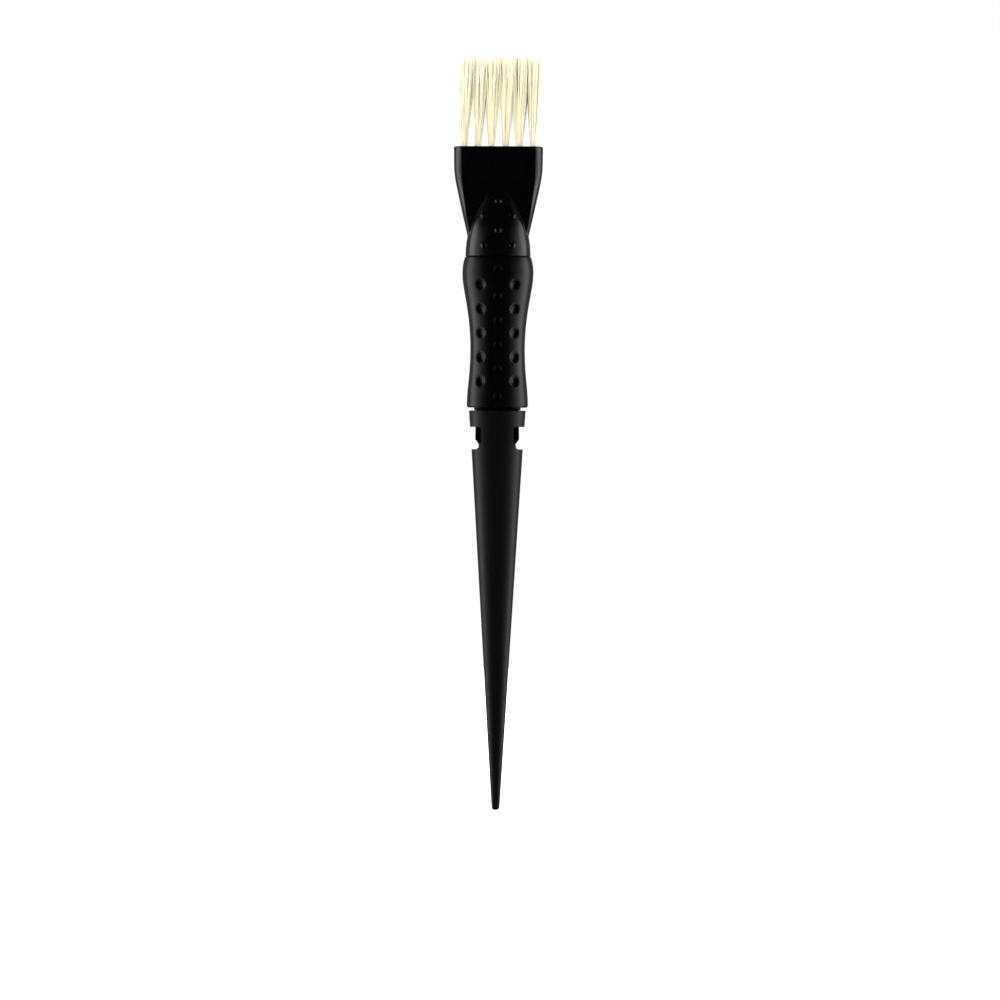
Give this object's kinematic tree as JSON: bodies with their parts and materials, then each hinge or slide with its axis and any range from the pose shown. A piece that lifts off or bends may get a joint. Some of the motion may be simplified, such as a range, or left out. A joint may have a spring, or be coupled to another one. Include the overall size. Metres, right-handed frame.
{
  "type": "tint brush",
  "caption": "Tint brush with a flat head of pale bristle tufts, a dimpled soft grip and a pointed tail handle that pulls off.",
  "frame": {"origin": "on the long axis at the narrowest part of the grip sleeve, where the fingers hold it", "axes": "+Z along the brush towards the bristle tips, X across the wide face of the head, -Y out of the front face"},
  "size_m": [0.0258, 0.0206, 0.22],
  "materials": {
    "head_plastic": "semi-gloss black moulding",
    "grip_rubber": "satin soft-touch black",
    "tail_plastic": "fine-grained matt black",
    "bristle": "cream translucent filament",
    "anchor_wire": "drawn flat wire"
  },
  "bodies": {
    "grip": {"brush_head": "head_plastic", "grip_sleeve": "grip_rubber", "tuft_anchors": "anchor_wire", "tuft_row1_1": "bristle", "tuft_row1_2": "bristle", "tuft_row1_3": "bristle", "tuft_row1_4": "bristle", "tuft_row1_5": "bristle", "tuft_row1_6": "bristle", "tuft_row2_1": "bristle", "tuft_row2_2": "bristle", "tuft_row2_3": "bristle", "tuft_row2_4": "bristle", "tuft_row2_5": "bristle", "tuft_row2_6": "bristle", "tuft_row3_1": "bristle", "tuft_row3_2": "bristle", "tuft_row3_3": "bristle", "tuft_row3_4": "bristle", "tuft_row3_5": "bristle", "tuft_row3_6": "bristle"},
    "tail": {"tail_handle": "tail_plastic"}
  },
  "joints": [
    {"name": "tail_pull", "type": "slide", "parent": "grip", "child": "tail", "axis": [0, 0, -1], "range_m": [0, 0.012]}
  ]
}
